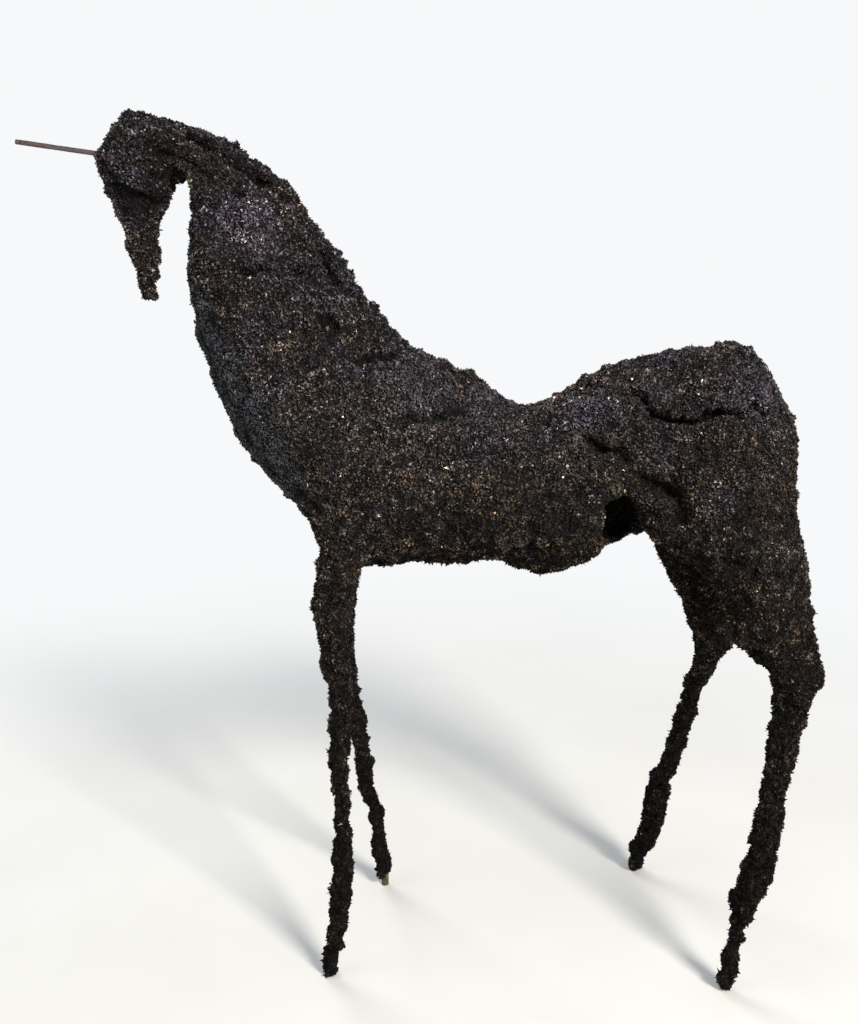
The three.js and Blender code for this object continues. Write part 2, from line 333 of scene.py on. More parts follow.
# Ledges, where a thicker layer of crust overhangs: line, proud above, sunk below, reach above, reach below
RUMP_LEDGE = [
    (0.418, -0.087, 1.301), (0.427, -0.108, 1.275), (0.441, -0.119, 1.263), (0.449, -0.127, 1.250),
    (0.462, -0.132, 1.240), (0.480, -0.139, 1.235), (0.499, -0.145, 1.230), (0.517, -0.150, 1.228),
    (0.535, -0.151, 1.233), (0.550, -0.150, 1.243), (0.565, -0.151, 1.246), (0.584, -0.153, 1.245),
    (0.603, -0.154, 1.243), (0.615, -0.153, 1.241), (0.628, -0.150, 1.247),
]
CROUP_LEDGE = [
    (0.584, -0.153, 1.245), (0.606, -0.154, 1.240), (0.618, -0.153, 1.241), (0.627, -0.150, 1.249),
    (0.631, -0.145, 1.258), (0.647, -0.143, 1.256), (0.668, -0.142, 1.244), (0.691, -0.137, 1.235),
]
CHEEK_EDGE = [
    (-0.618, -0.051, 1.682), (-0.602, -0.063, 1.679), (-0.579, -0.067, 1.672), (-0.562, -0.062, 1.661),
    (-0.543, -0.052, 1.654), (-0.529, -0.039, 1.650),
]
LEDGES = [
    (RUMP_LEDGE, 0.014, 0.026, 0.055, 0.016),
    (CROUP_LEDGE, 0.009, 0.018, 0.035, 0.012),
    (CHEEK_EDGE, 0.006, 0.014, 0.028, 0.024),
    (mirrored(RUMP_LEDGE, -0.02, 0.01), 0.006, 0.010, 0.040, 0.020),
    (mirrored(CHEEK_EDGE), 0.005, 0.011, 0.028, 0.026),
]

# Hollows between belly and thigh: middle, half sizes, depth towards the middle of the body, how dark the
# painted shade in it is
HOLLOWS = [
    ((0.404, -0.110, 0.999), (0.041, 0.100, 0.062), 0.075, 0.97),
    ((0.402, 0.110, 0.998), (0.048, 0.100, 0.066), 0.030, 0.45),
]
HOLLOW_FLOOR = 0.68  # a hollow is full deep out to this share

# Clods that stand out of the outline: x, y, z, size
CLODS = [
    (-0.586, 0.000, 1.812, 0.016), (-0.494, 0.000, 1.795, 0.014), (-0.456, 0.000, 1.788, 0.018),
    (-0.412, 0.000, 1.762, 0.010), (-0.382, 0.000, 1.746, 0.012), (-0.330, 0.000, 1.704, 0.016),
    (-0.269, 0.000, 1.664, 0.018), (-0.177, 0.000, 1.518, 0.016), (-0.151, 0.000, 1.504, 0.020),
    (-0.106, 0.000, 1.436, 0.016), (-0.014, 0.000, 1.345, 0.016), (0.034, 0.000, 1.320, 0.020),
    (0.091, 0.000, 1.300, 0.018), (0.185, 0.000, 1.262, 0.014), (0.327, 0.000, 1.296, 0.016),
    (0.376, 0.000, 1.322, 0.020), (0.445, 0.000, 1.334, 0.016), (0.552, 0.000, 1.356, 0.014),
    (0.600, 0.000, 1.364, 0.014), (0.676, 0.000, 1.356, 0.016), (0.768, 0.000, 1.222, 0.026),
    (0.785, -0.020, 1.196, 0.016), (0.640, -0.165, 0.777, 0.022),
    (0.695, -0.185, 0.676, 0.018), (0.693, -0.190, 0.573, 0.018), (0.693, -0.200, 0.512, 0.014),
    (0.664, -0.215, 0.292, 0.022), (0.648, -0.222, 0.213, 0.018), (0.650, -0.226, 0.148, 0.012),
    (0.792, -0.165, 0.719, 0.022), (0.748, -0.208, 0.357, 0.016), (0.730, -0.214, 0.292, 0.014),
    (0.629, 0.184, 0.536, 0.018), (0.648, 0.200, 0.379, 0.014), (0.554, 0.208, 0.279, 0.022),
    (0.595, 0.216, 0.142, 0.014), (0.518, 0.230, 0.070, 0.020), (0.553, 0.235, 0.025, 0.014),
    (-0.233, -0.118, 0.877, 0.018), (-0.235, -0.120, 0.845, 0.016), (-0.227, -0.130, 0.764, 0.014),
    (-0.218, -0.135, 0.704, 0.014), (-0.206, -0.152, 0.487, 0.016), (-0.206, -0.160, 0.405, 0.014),
    (-0.208, -0.172, 0.196, 0.014), (-0.224, -0.183, 0.057, 0.016), (-0.161, -0.165, 0.331, 0.018),
    (-0.158, -0.170, 0.230, 0.012), (-0.175, -0.178, 0.112, 0.014), (-0.136, 0.142, 0.342, 0.018),
    (-0.116, 0.155, 0.203, 0.018), (-0.090, 0.168, 0.080, 0.018), (-0.126, 0.172, 0.040, 0.016),
    (-0.167, 0.150, 0.262, 0.014),
]
CLOD_RISE = 0.42  # a clod's height as a share of its size
CLOD_TOP = 0.30  # it is flat out to this share
CLOD_FOOT = 1.15  # and ends at this one

# Soft nudges of the crust's form: middle, reach, move
NUDGES = [
    ((-0.584, 0.000, 1.812), 0.035, (0.000, 0.000, 0.006)),
    ((-0.573, 0.000, 1.535), 0.120, (0.004, 0.000, 0.000)),
    ((-0.562, 0.000, 1.462), 0.040, (0.000, 0.000, -0.004)),
    ((-0.539, 0.000, 1.540), 0.050, (0.005, 0.000, 0.000)),
    ((-0.625, 0.000, 1.590), 0.050, (0.007, 0.000, 0.000)),
    ((-0.498, -0.010, 1.672), 0.032, (-0.009, 0.000, 0.010)),
    ((-0.515, 0.000, 1.640), 0.045, (0.005, 0.000, 0.000)),
    ((-0.468, -0.020, 1.672), 0.050, (0.016, 0.000, 0.005)),
    ((0.455, -0.140, 0.985), 0.045, (-0.016, 0.000, -0.003)),
    ((0.735, -0.030, 1.290), 0.110, (-0.005, 0.000, -0.003)),
    ((0.810, -0.120, 0.850), 0.140, (0.005, 0.000, 0.000)),
    ((0.560, -0.050, 1.350), 0.060, (0.000, 0.000, 0.003)),
    ((0.434, -0.030, 1.330), 0.110, (0.000, 0.000, -0.005)),
    ((0.709, 0.150, 0.635), 0.055, (0.012, 0.000, 0.000)),
    ((0.683, -0.190, 0.752), 0.060, (0.016, 0.000, 0.014)),
    ((0.700, 0.128, 0.655), 0.040, (0.004, 0.000, -0.008)),
    ((0.641, -0.172, 0.786), 0.032, (0.000, 0.000, -0.009)),
    ((0.678, -0.212, 0.283), 0.022, (-0.010, 0.000, 0.002)),
    ((0.722, -0.215, 0.234), 0.035, (-0.009, 0.000, 0.000)),
    ((0.759, -0.210, 0.568), 0.060, (0.005, 0.000, 0.000)),
    ((0.640, 0.195, 0.373), 0.018, (0.010, 0.000, 0.000)),
    ((0.592, 0.190, 0.381), 0.018, (-0.008, 0.000, 0.002)),
    ((-0.490, -0.015, 1.692), 0.018, (0.002, 0.000, -0.014)),
    ((-0.225, 0.000, 1.605), 0.090, (0.004, 0.000, 0.003)),
    ((-0.167, 0.000, 1.534), 0.060, (0.004, 0.000, 0.003)),
    ((-0.086, 0.000, 1.405), 0.050, (0.004, 0.000, 0.004)),
    ((-0.451, 0.000, 1.788), 0.035, (0.000, 0.000, -0.004)),
    ((0.290, 0.000, 1.277), 0.050, (0.000, 0.000, -0.004)),
    ((0.133, 0.000, 1.277), 0.050, (0.000, 0.000, 0.005)),
    ((-0.340, -0.030, 1.080), 0.090, (-0.002, 0.000, -0.002)),
    ((-0.238, -0.140, 0.780), 0.140, (-0.005, 0.000, 0.000)),
    ((-0.228, -0.150, 0.700), 0.060, (-0.004, 0.000, 0.000)),
    ((-0.160, 0.130, 0.800), 0.130, (0.006, 0.000, 0.000)),
    ((-0.105, 0.160, 0.200), 0.130, (0.003, 0.000, 0.000)),
    ((-0.130, 0.145, 0.310), 0.090, (-0.005, 0.000, 0.000)),
    ((-0.180, -0.155, 0.480), 0.120, (0.004, 0.000, 0.000)),
    ((-0.132, -0.120, 0.890), 0.035, (0.004, 0.000, -0.006)),
    ((-0.120, 0.157, 0.036), 0.022, (-0.001, -0.002, -0.015)),
    ((0.800, -0.165, 0.730), 0.090, (0.009, 0.000, 0.000)),
    ((0.651, 0.000, 1.364), 0.070, (0.000, 0.000, 0.004)),
    ((0.300, -0.020, 0.920), 0.120, (0.000, 0.000, 0.005)),
    ((0.225, -0.050, 0.886), 0.070, (0.000, 0.000, -0.006)),
    ((-0.078, -0.050, 0.892), 0.060, (0.000, 0.000, -0.004)),
    ((-0.275, 0.000, 1.677), 0.050, (0.004, 0.000, 0.005)),
    ((-0.153, 0.000, 1.510), 0.035, (-0.003, 0.000, -0.003)),
    ((0.420, -0.150, 1.045), 0.036, (-0.003, 0.000, -0.011)),
    ((0.352, -0.150, 0.985), 0.030, (0.006, 0.000, 0.000)),
    ((0.397, -0.100, 0.962), 0.036, (0.000, 0.000, 0.007)),
    ((-0.275, 0.000, 0.985), 0.080, (0.007, 0.000, 0.000)),
]
SHRUNK = 0.0022  # what smoothing takes off the limbs and the muzzle

# Patches painted paler and bluish: middle, reach, how much
PALE_BLUE_PATCHES = [
    ((0.650, -0.135, 1.272), 0.090, 1.0),
    ((0.460, -0.117, 1.270), 0.050, 1.0),
    ((0.330, -0.110, 1.237), 0.080, 1.0),
    ((0.465, -0.155, 1.154), 0.045, 1.0),
    ((0.000, -0.090, 1.295), 0.120, 1.0),
    ((0.120, -0.075, 1.255), 0.080, 1.0),
    ((-0.350, -0.090, 1.600), 0.090, 1.0),
    ((-0.240, -0.080, 1.590), 0.050, 1.0),
    ((-0.060, -0.085, 1.330), 0.060, 1.0),
]

# Patches painted an even slate blue-grey, along the front of the chest: middle, reach, how much
SLATE_PATCHES = [
    ((-0.455, -0.080, 1.424), 0.060, 1.0),
    ((-0.441, -0.080, 1.365), 0.085, 1.0),
    ((-0.416, -0.088, 1.295), 0.105, 1.0),
    ((-0.379, -0.107, 1.227), 0.115, 1.0),
    ((-0.332, -0.115, 1.157), 0.105, 1.0),
    ((-0.284, -0.096, 1.081), 0.080, 1.0),
]

# Patches where the chips are painted lighter, a painted highlight, and made shinier: middle, reach, how many
SHEENS = [
    ((-0.342, -0.085, 1.615), 0.110, 1.00),
    ((0.003, -0.158, 1.124), 0.080, 0.40),
    ((0.330, -0.094, 1.250), 0.065, 0.55),
    ((0.628, -0.142, 1.268), 0.050, 0.40),
    ((0.723, -0.171, 0.942), 0.060, 0.50),
    ((0.583, -0.179, 1.048), 0.050, 0.30),
    ((0.740, -0.190, 0.850), 0.120, 0.45),
]


def plug(name, radius, depth, place, turn_deg=0.0):
    """A short rod that fills a bar's socket, so that the crust closes round the bar."""
    turn = (0, math.radians(turn_deg), 0)
    bpy.ops.mesh.primitive_cylinder_add(
        vertices=PLUG_SIDES, radius=radius, depth=depth, location=place, rotation=turn
    )
    rod = bpy.context.object
    rod.name = name
    return rod


def horn_line():
    """The middle of the horn's inner end and of its tip."""
    low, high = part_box("horn")
    lean = math.radians(HORN_RISE_DEG)
    radius = HORN_DIAMETER / 2
    middle = (low.y + high.y) / 2
    tip = Vector((low.x + radius * math.sin(lean), middle, high.z - radius * math.cos(lean)))
    root = Vector((high.x - radius * math.sin(lean), middle, low.z + radius * math.cos(lean)))
    return root, tip


def crust_bed():
    """The solid's own form, meshed fine, its sockets filled and its limbs run smoothly into the trunk."""
    bed = bpy.data.objects.new("crust", frame["nodes"]["body"].data.copy())
    bpy.context.scene.collection.objects.link(bed)
    take(bed)
    bpy.ops.object.mode_set(mode="EDIT")
    bpy.ops.mesh.select_all(action="SELECT")
    bpy.ops.mesh.remove_doubles(threshold=WELD)
    bpy.ops.object.mode_set(mode="OBJECT")

    root, tip = horn_line()
    place = root + (tip - root).normalized() * (HORN_SOCKET / 2 - PLUG_SINK)
    horn_plug = plug("horn_plug", HORN_PLUG_RADIUS, HORN_SOCKET - PLUG_SHORT, place, HORN_RISE_DEG - 90.0)
    low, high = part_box("right_fore_foot_bar")
    place = (low + high) / 2
    place.z = (high.z + LEG_END) / 2 + PLUG_LIFT
    foot_plug = plug("foot_plug", FOOT_PLUG_RADIUS, high.z - LEG_END, place)
    take(bed)
    horn_plug.select_set(True)
    foot_plug.select_set(True)
    bpy.ops.object.join()
    apply_modifier(bed, "REMESH", mode="VOXEL", voxel_size=GRAIN)

    x, _, z = read_points(bed).T
    under, over, before = THIGH_ROOT
    thigh = ramp_up(z, *under) * (1 - ramp_up(z, *over)) * ramp_up(x, *before)
    under, over, before, behind = SHOULDER_ROOT
    shoulder = ramp_up(z, *under) * (1 - ramp_up(z, *over)) * ramp_up(x, *before)
    shoulder *= 1 - ramp_up(x, *behind)
    weigh(bed, "limb_roots", np.maximum(thigh, shoulder))
    apply_modifier(bed, "SMOOTH", factor=SMOOTHING, iterations=ROOT_ROUNDS, vertex_group="limb_roots")
    apply_modifier(bed, "SMOOTH", factor=SMOOTHING, iterations=ALL_ROUNDS)
    return bed


def swell(piece, kind, size, rise, middle, group="", way="NORMAL"):
    """Swells the crust in and out by a cloudy or a cell-like pattern, its lumps about size apart."""
    texture = bpy.data.textures.new(f"{kind.lower()}_{round(size * 1000)}", kind)
    texture.noise_scale = size
    apply_modifier(
        piece,
        "DISPLACE",
        texture=texture,
        texture_coords="LOCAL",
        direction=way,
        strength=rise,
        mid_level=middle,
        vertex_group=group,
    )


def lumps(piece, size, rise, group="", way="NORMAL"):
    """Soft cloudy lumps."""
    swell(piece, "CLOUDS", size, rise, 0.5, group, way)


def clods(piece, size, rise, group="", way="NORMAL"):
    """Rounded clods pressed together, with a sharp valley between each two."""
    swell(piece, "VORONOI", size, -rise, 0.35, group, way)


def carving(points, loose):
    """How far the ledges, cracks, folds and clods push each point out.

    Also how deep each lies in a narrow gap, and how dark the painted shade of the folds is on it.
    """
    x, _, z = points.T
    legs = 1 - ramp_up(z, *SHRUNK_LEGS)
    muzzle = (1 - ramp_up(z, *NOSE_END)) * ramp_up(z, *NOSE) * (x < NOSE_TO)
    push = SHRUNK * np.maximum(legs, muzzle) - INSET
    gap = np.zeros(len(points))
    painted_shade = np.zeros(len(points))
    for line, proud, sunk, above, below in LEDGES:
        distance, over, along = from_line(loose, line)
        taper = tapered(along)
        under = np.exp(-((distance / below) ** 2))
        push += taper * np.where(over > 0, proud * np.exp(-((distance / above) ** 2)), -sunk * under)
        gap = np.maximum(gap, taper * np.where(over > 0, 0.0, under))
    for line, depth, width in CRACKS:
        distance, _, along = from_line(loose, line)
        uneven = 0.88 + 0.12 * np.sin(9.0 * along)
        strength = tapered(along) * uneven * np.exp(-((distance / width) ** 2))
        push -= depth * strength
        gap = np.maximum(gap, strength)
    for line, depth, width, dark in FOLDS:
        away = from_line(loose, line)[0] / width
        push -= depth * np.exp(-(away**2))
        painted_shade = np.maximum(painted_shade, dark * np.exp(-(away**4)))
    for *middle, size in CLODS:
        far = np.linalg.norm(loose - np.array(middle), axis=1)
        push += CLOD_RISE * size * (1 - ramp_up(far, CLOD_TOP * size, CLOD_FOOT * size))
    return push, gap, painted_shade


def sink_hollows(moved, loose, painted_shade):
    """Sinks the two hollows with ragged rims, and gives the painted shade with the hollows' own painted
    shade added.
    """
    ragged = wobble(loose, *RIM_WAVER)
    for middle, size, depth, dark in HOLLOWS:
        far = np.sum(((ragged - np.array(middle)) / np.array(size)) ** 4, axis=1) ** 0.25
        inside = 1 - ramp_up(far, HOLLOW_FLOOR, 1.0)
        moved[:, 1] -= math.copysign(depth, middle[1]) * inside
        painted_shade = np.maximum(painted_shade, dark * inside)
    return painted_shade


def mark_regions(bed, points, normals):
    """Weights for the lumps and clods that only part of the crust has."""
    x, _, z = points.T
    upward = normals[:, 2]
    crest = ramp_up(z, *CREST_START) * ramp_up(-x, *CREST_END) * ramp_up(upward + normals[:, 0], *UPWARD)
    back = ramp_up(upward, *UPWARD) * ramp_up(z, *BACK_START)
    weigh(bed, "crest", np.maximum(crest, 0.7 * back))
    weigh(bed, "limbs", 1 - ramp_up(z, *LIMBS_END))
    weigh(bed, "flanks", ramp_up(z, *FLANKS_START))
    weigh(bed, "low", 1 - ramp_up(z, *LOW_END))


def roughen(bed):
    """Lumps and clods all over. Gives the points, and how far the small ones moved each out or in."""
    lumps(bed, 0.085, 0.014)
    lumps(bed, 0.045, 0.009)
    lumps(bed, 0.070, 0.022, "flanks", "Y")
    clods(bed, 0.055, 0.010, "flanks", "Y")
    before = read_points(bed)
    normals = read_points(bed, "normal")
    clods(bed, 0.026, 0.010)
    clods(bed, 0.032, 0.006, "low")
    clods(bed, 0.020, 0.010, "crest")
    clods(bed, 0.020, 0.004, "limbs")
    lumps(bed, 0.015, 0.010)
    after = read_points(bed)
    height = np.einsum("ij,ij->i", after - before, normals)
    after[:, 2] = np.maximum(after[:, 2], FLOOR_GAP)
    move_points(bed, after)
    return after, height


def weather(bed):
    """Wears the crust. Gives how sunk each point is, and how dark the painted shade on it is, in gaps, clod
    valleys, folds and hollows.
    """
    points = read_points(bed)
    normals = read_points(bed, "normal")
    loose = wobble(wobble(points, *BROAD_WAVER), *FINE_WAVER)
    push, gap, painted_shade = carving(points, loose)
    moved = points + normals * push[:, None]
    for middle, reach, move in NUDGES:
        moved += np.array(move) * near(moved, middle, reach)[:, None]
    painted_shade = sink_hollows(moved, loose, painted_shade)
    move_points(bed, moved)
    mark_regions(bed, moved, normals)
    after, height = roughen(bed)
    low = 1 - ramp_up(after[:, 2], *LOWER_RELIEF_END)
    # Sunk points lose chips; they, the clod valleys, the folds and the hollows get painted shade
    sunk = clipped((0.45 + 0.20 * low) * ramp_up(-height, 0.0, 0.005) + ramp_up(gap, 0.25, 0.75))
    valley = (0.45 + 0.34 * low) * ramp_up(-height, -0.001, 0.005)
    # Proud knobs low on the body are painted lighter, a painted highlight
    weigh(bed, "proud", low * ramp_up(height, 0.0, 0.006))
    return sunk, np.maximum(np.maximum(sunk, valley), painted_shade)


# The chips' shapes: width, height, how far the point leans over, how flat
CHIP_SHAPES = [
    (0.0074, 0.0058, 0.0009, 0.8),
    (0.0063, 0.0049, 0.0018, 0.6),
    (0.0060, 0.0069, 0.0013, 0.9),
    (0.0093, 0.0043, 0.0024, 0.7),
    (0.0069, 0.0065, -0.0016, 0.5),
]
THORN_SHAPES = [
    (0.0085, 0.0150, 0.0030, 0.6),
    (0.0110, 0.0125, -0.0040, 0.6),
    (0.0125, 0.0110, 0.0045, 0.7),
]

# The share of their height that is below the crust
CHIP_ROOT = 0.45
THORN_ROOT = 0.22

# How they are strewn: number to the square metre, tilt, least and most size, up and down
CHIPS_STREWN = (77000, math.pi, (0.6, 1.25), 0.0018)
THORNS_STREWN = (8000, 0.8, (0.6, 1.1), 0.001)
THORN_SEED = 20
THORN_CLUMP = 0.035  # thorns stand in clumps about this far apart
SUNK_LOSS = 0.6  # the share of chips missing where the crust is sunk


def chip_shapes(name, shapes, root):
    """Three-sided shards of scale in a collection of their own, sunk below the origin by this share."""
    kept = bpy.data.collections.new(name)
    for width, height, lean, flat in shapes:
        bpy.ops.object.select_all(action="DESELECT")
        bpy.ops.mesh.primitive_cone_add(vertices=3, radius1=width / 2, radius2=0, depth=height)
        shard = bpy.context.object
        bpy.ops.object.mode_set(mode="EDIT")
        bpy.ops.mesh.select_all(action="SELECT")
        bpy.ops.transform.resize(value=(1, flat, 1))
        bpy.ops.transform.translate(value=(0, 0, (0.5 - root) * height))
        bpy.ops.object.mode_set(mode="OBJECT")
        top = max(shard.data.vertices, key=lambda v: v.co.z)
        top.co.x += lean
        for holder in list(shard.users_collection):
            holder.objects.unlink(shard)
        kept.objects.link(shard)
    return kept


def scatter(name, bed, zone, shapes, seed, per_m2, tilt, sizes, lift):
    """Chips strewn at random over one zone of the crust, each turned and sized its own way, as one mesh."""
    tree = bpy.data.node_groups.new(name, "GeometryNodeTree")
    for way in ("INPUT", "OUTPUT"):
        tree.interface.new_socket("Geometry", in_out=way, socket_type="NodeSocketGeometry")

    def node(kind, **settings):
        made = tree.nodes.new(kind)
        for key, value in settings.items():
            setattr(made, key, value)
        return made

    def link(source, output, target, socket):
        tree.links.new(source.outputs[output], target.inputs[socket])

    def random(kind, low, high, number):
        made = node("FunctionNodeRandomValue", data_type=kind)
        first = {"FLOAT_VECTOR": 0, "FLOAT": 2, "INT": 4}[kind]
        made.inputs[first].default_value = low
        made.inputs[first + 1].default_value = high
        made.inputs["Seed"].default_value = seed * 10 + number
        return made, {"FLOAT_VECTOR": 0, "FLOAT": 1, "INT": 2}[kind]

    start = node("NodeGroupInput")
    end = node("NodeGroupOutput")
    weight = node("GeometryNodeInputNamedAttribute", data_type="FLOAT")
    weight.inputs["Name"].default_value = zone
    density = node("ShaderNodeMath", operation="MULTIPLY")
    density.inputs[1].default_value = per_m2
    link(weight, "Attribute", density, 0)

    strewn = node("GeometryNodeDistributePointsOnFaces", distribute_method="RANDOM")
    strewn.inputs["Seed"].default_value = seed
    link(start, "Geometry", strewn, "Mesh")
    link(density, 0, strewn, "Density")

    source = node("GeometryNodeCollectionInfo")
    source.inputs["Collection"].default_value = shapes
    source.inputs["Separate Children"].default_value = True

    rises, rises_out = random("FLOAT", -lift, lift, 5)
    rise = node("ShaderNodeVectorMath", operation="SCALE")
    link(strewn, "Normal", rise, 0)
    link(rises, rises_out, rise, "Scale")
    raised = node("GeometryNodeSetPosition")
    link(strewn, "Points", raised, "Geometry")
    link(rise, "Vector", raised, "Offset")

    angles, angles_out = random("FLOAT_VECTOR", (-tilt, -tilt, -math.pi), (tilt, tilt, math.pi), 1)
    turn = node("FunctionNodeEulerToRotation")
    link(angles, angles_out, turn, 0)
    turned = node("FunctionNodeRotateRotation", rotation_space="LOCAL")
    link(strewn, "Rotation", turned, 0)
    link(turn, 0, turned, 1)

    scales, scales_out = random("FLOAT_VECTOR", (sizes[0],) * 3, (sizes[1],) * 3, 2)
    picks, picks_out = random("INT", 0, len(shapes.objects) - 1, 3)
    placed = node("GeometryNodeInstanceOnPoints")
    placed.inputs["Pick Instance"].default_value = True
    link(raised, "Geometry", placed, "Points")
    link(source, 0, placed, "Instance")
    link(picks, picks_out, placed, "Instance Index")
    link(turned, 0, placed, "Rotation")
    link(scales, scales_out, placed, "Scale")

    tones, tones_out = random("FLOAT", 0.0, 1.0, 4)
    toned = node("GeometryNodeStoreNamedAttribute", data_type="FLOAT", domain="INSTANCE")
    toned.inputs["Name"].default_value = "tone"
    link(placed, "Instances", toned, "Geometry")
    link(tones, tones_out, toned, "Value")
    joined = node("GeometryNodeRealizeInstances")
    link(toned, "Geometry", joined, 0)
    link(joined, 0, end, 0)

    chips = bpy.data.objects.new(name, bed.data.copy())
    for group in bed.vertex_groups:
        chips.vertex_groups.new(name=group.name)
    bpy.context.scene.collection.objects.link(chips)
    apply_modifier(chips, "NODES", node_group=tree)
    chips.vertex_groups.clear()
    bpy.data.node_groups.remove(tree)
    points = read_points(chips)
    points[:, 2] = np.maximum(points[:, 2], CHIP_GAP)
    move_points(chips, points)
    return chips


def patches(points, rows):
    """How far each point lies in one of the round patches, each a middle, a reach and a strength."""
    found = np.zeros(len(points))
    for middle, reach, most in rows:
        found = np.maximum(found, most * near(points, middle, reach))
    return found


def zones(bed, sunk, painted_shade):
    """Parts the crust into regions, with fewer chips where it is sunk, and gives the regions' names."""
    points = read_points(bed)
    x, _, z = points.T
    legs = z < LEG_TOP
    hind = x > HIND_FROM
    fore = (x < FORE_TO) & (z >= FORE_FROM_HEIGHT)
    found = {
        "fore_legs": legs & (x < FORE_LEGS_TO),
        "hind_legs": legs & (x >= FORE_LEGS_TO),
        "trunk": ~legs & ~hind & ~fore,
        "thighs": ~legs & (z < THIGH_TOP) & hind,
        "rump": (z >= THIGH_TOP) & hind,
        "neck": fore & (z < NECK_TOP),
        "head_and_crest": fore & (z >= NECK_TOP),
    }
    off_floor = ramp_up(z, *CHIPS_START)
    thorny = ramp_up(np.array([noise.noise(Vector(p / THORN_CLUMP)) for p in points]), -0.05, 0.35)
    spread = 0.05 + 0.95 * (1 - ramp_up(z, *THORNS_END)) + 0.20 * ramp_up(z, *CREST_THORNS)
    for name, inside in found.items():
        weigh(bed, "zone_" + name, inside * off_floor * (1 - SUNK_LOSS * sunk))
        weigh(bed, "thorny_" + name, clipped(inside * thorny * spread * ramp_up(z, *THORNS_START)))
    loose = wobble(points, *PATCH_WAVER)
    # Weights for the sheens' painted highlight, the pale blue and slate patches and the painted shade
    weigh(bed, "sheen", patches(loose, SHEENS))
    weigh(bed, "pale_blue", patches(loose, PALE_BLUE_PATCHES))
    weigh(bed, "slate", patches(loose, SLATE_PATCHES))
    weigh(bed, "painted_shade", painted_shade)
    return list(found)


class Paint:
    """A node material that is built up step by step round one principled shader."""

    def __init__(self, name):
        self.material = bpy.data.materials.new(name)
        self.material.use_nodes = True
        self.tree = self.material.node_tree
        self.shader = self.tree.nodes["Principled BSDF"]
        self.place = self.node("ShaderNodeTexCoord").outputs["Object"]

    def node(self, kind, **settings):
        made = self.tree.nodes.new(kind)
        for name, value in settings.items():
            setattr(made, name, value)
        return made

    def feed(self, socket, value):
        """Links a socket to another's output, or sets it to a plain value."""
        if isinstance(value, bpy.types.NodeSocket):
            self.tree.links.new(value, socket)
        else:
            socket.default_value = value

    def noise(self, scale, detail=3.0, roughness=0.55):
        made = self.node("ShaderNodeTexNoise")
        made.inputs["Scale"].default_value = scale
        made.inputs["Detail"].default_value = detail
        made.inputs["Roughness"].default_value = roughness
        self.feed(made.inputs["Vector"], self.place)
        return made.outputs["Fac"]

    def grains(self, scale):
        made = self.node("ShaderNodeTexVoronoi")
        made.inputs["Scale"].default_value = scale
        self.feed(made.inputs["Vector"], self.place)
        return made.outputs

    def attribute(self, name):
        return self.node("ShaderNodeAttribute", attribute_name=name).outputs["Fac"]

    def ramp(self, value, stops):
        made = self.node("ShaderNodeValToRGB")
        self.feed(made.inputs["Fac"], value)
        elements = made.color_ramp.elements
        while len(elements) < len(stops):
            elements.new(0.5)
        for element, (place, color) in zip(elements, stops):
            element.position = place
            element.color = (*color, 1) if isinstance(color, tuple) else (color, color, color, 1)
        return made.outputs["Color"]

    def mix(self, share, first, second, blend="MIX"):
        made = self.node("ShaderNodeMix", data_type="RGBA", blend_type=blend)
        self.feed(made.inputs[0], share)
        self.feed(made.inputs[6], (*first, 1) if isinstance(first, tuple) else first)
        self.feed(made.inputs[7], (*second, 1) if isinstance(second, tuple) else second)
        return made.outputs[2]

    def times(self, first, second):
        return self.mix(1.0, first, second, "MULTIPLY")

    def math(self, operation, first, second):
        made = self.node("ShaderNodeMath", operation=operation)
        self.feed(made.inputs[0], first)
        self.feed(made.inputs[1], second)
        return made.outputs[0]

    def up(self):
        """How far the surface faces up, from -1 to 1."""
        parts = self.node("ShaderNodeSeparateXYZ")
        self.feed(parts.inputs[0], self.node("ShaderNodeNewGeometry").outputs["Normal"])
        return parts.outputs["Z"]

    def along(self, axis):
        """The place along one axis, in metres."""
        parts = self.node("ShaderNodeSeparateXYZ")
        self.feed(parts.inputs[0], self.place)
        return parts.outputs[axis]

    def bump(self, height, strength, distance):
        made = self.node("ShaderNodeBump")
        made.inputs["Strength"].default_value = strength
        made.inputs["Distance"].default_value = distance
        self.feed(made.inputs["Height"], height)
        self.feed(self.shader.inputs["Normal"], made.outputs["Normal"])

    def set(self, **values):
        names = {"color": "Base Color", "metallic": "Metallic", "roughness": "Roughness"}
        for name, value in values.items():
            self.feed(self.shader.inputs[names[name]], value)


# The dark matrix between the chips
BINDER = [(0.0, (0.001, 0.001, 0.001)), (0.6, (0.005, 0.004, 0.004)), (1.0, (0.020, 0.016, 0.014))]

# The scale's tones, from the dullest chips to the few bright faces
TONES = [
    (0.00, (0.0025, 0.0021, 0.0020)),
    (0.28, (0.0110, 0.0098, 0.0092)),
    (0.55, (0.034, 0.031, 0.030)),
    (0.76, (0.066, 0.061, 0.060)),
    (0.91, (0.102, 0.095, 0.095)),
    (0.985, (0.155, 0.147, 0.148)),
    (1.00, (0.215, 0.205, 0.212)),
]
# A full sheen lifts a chip's tone: a painted highlight in its colour, and more mirror in its finish
SHEEN_LIFT = 0.30  # how far up the tones a full sheen moves a chip

# Chips of nearly the same tone are tinted bluish, grey, olive, violet or rusty
TINTS = [
    (0.00, (0.84, 0.92, 1.20)),
    (0.28, (0.98, 0.98, 1.02)),
    (0.52, (1.04, 1.03, 0.80)),
    (0.76, (1.10, 0.94, 1.05)),
    (1.00, (1.18, 0.98, 0.80)),
]
TINT_ROUNDS = 17.0  # how often the tints repeat over the tones

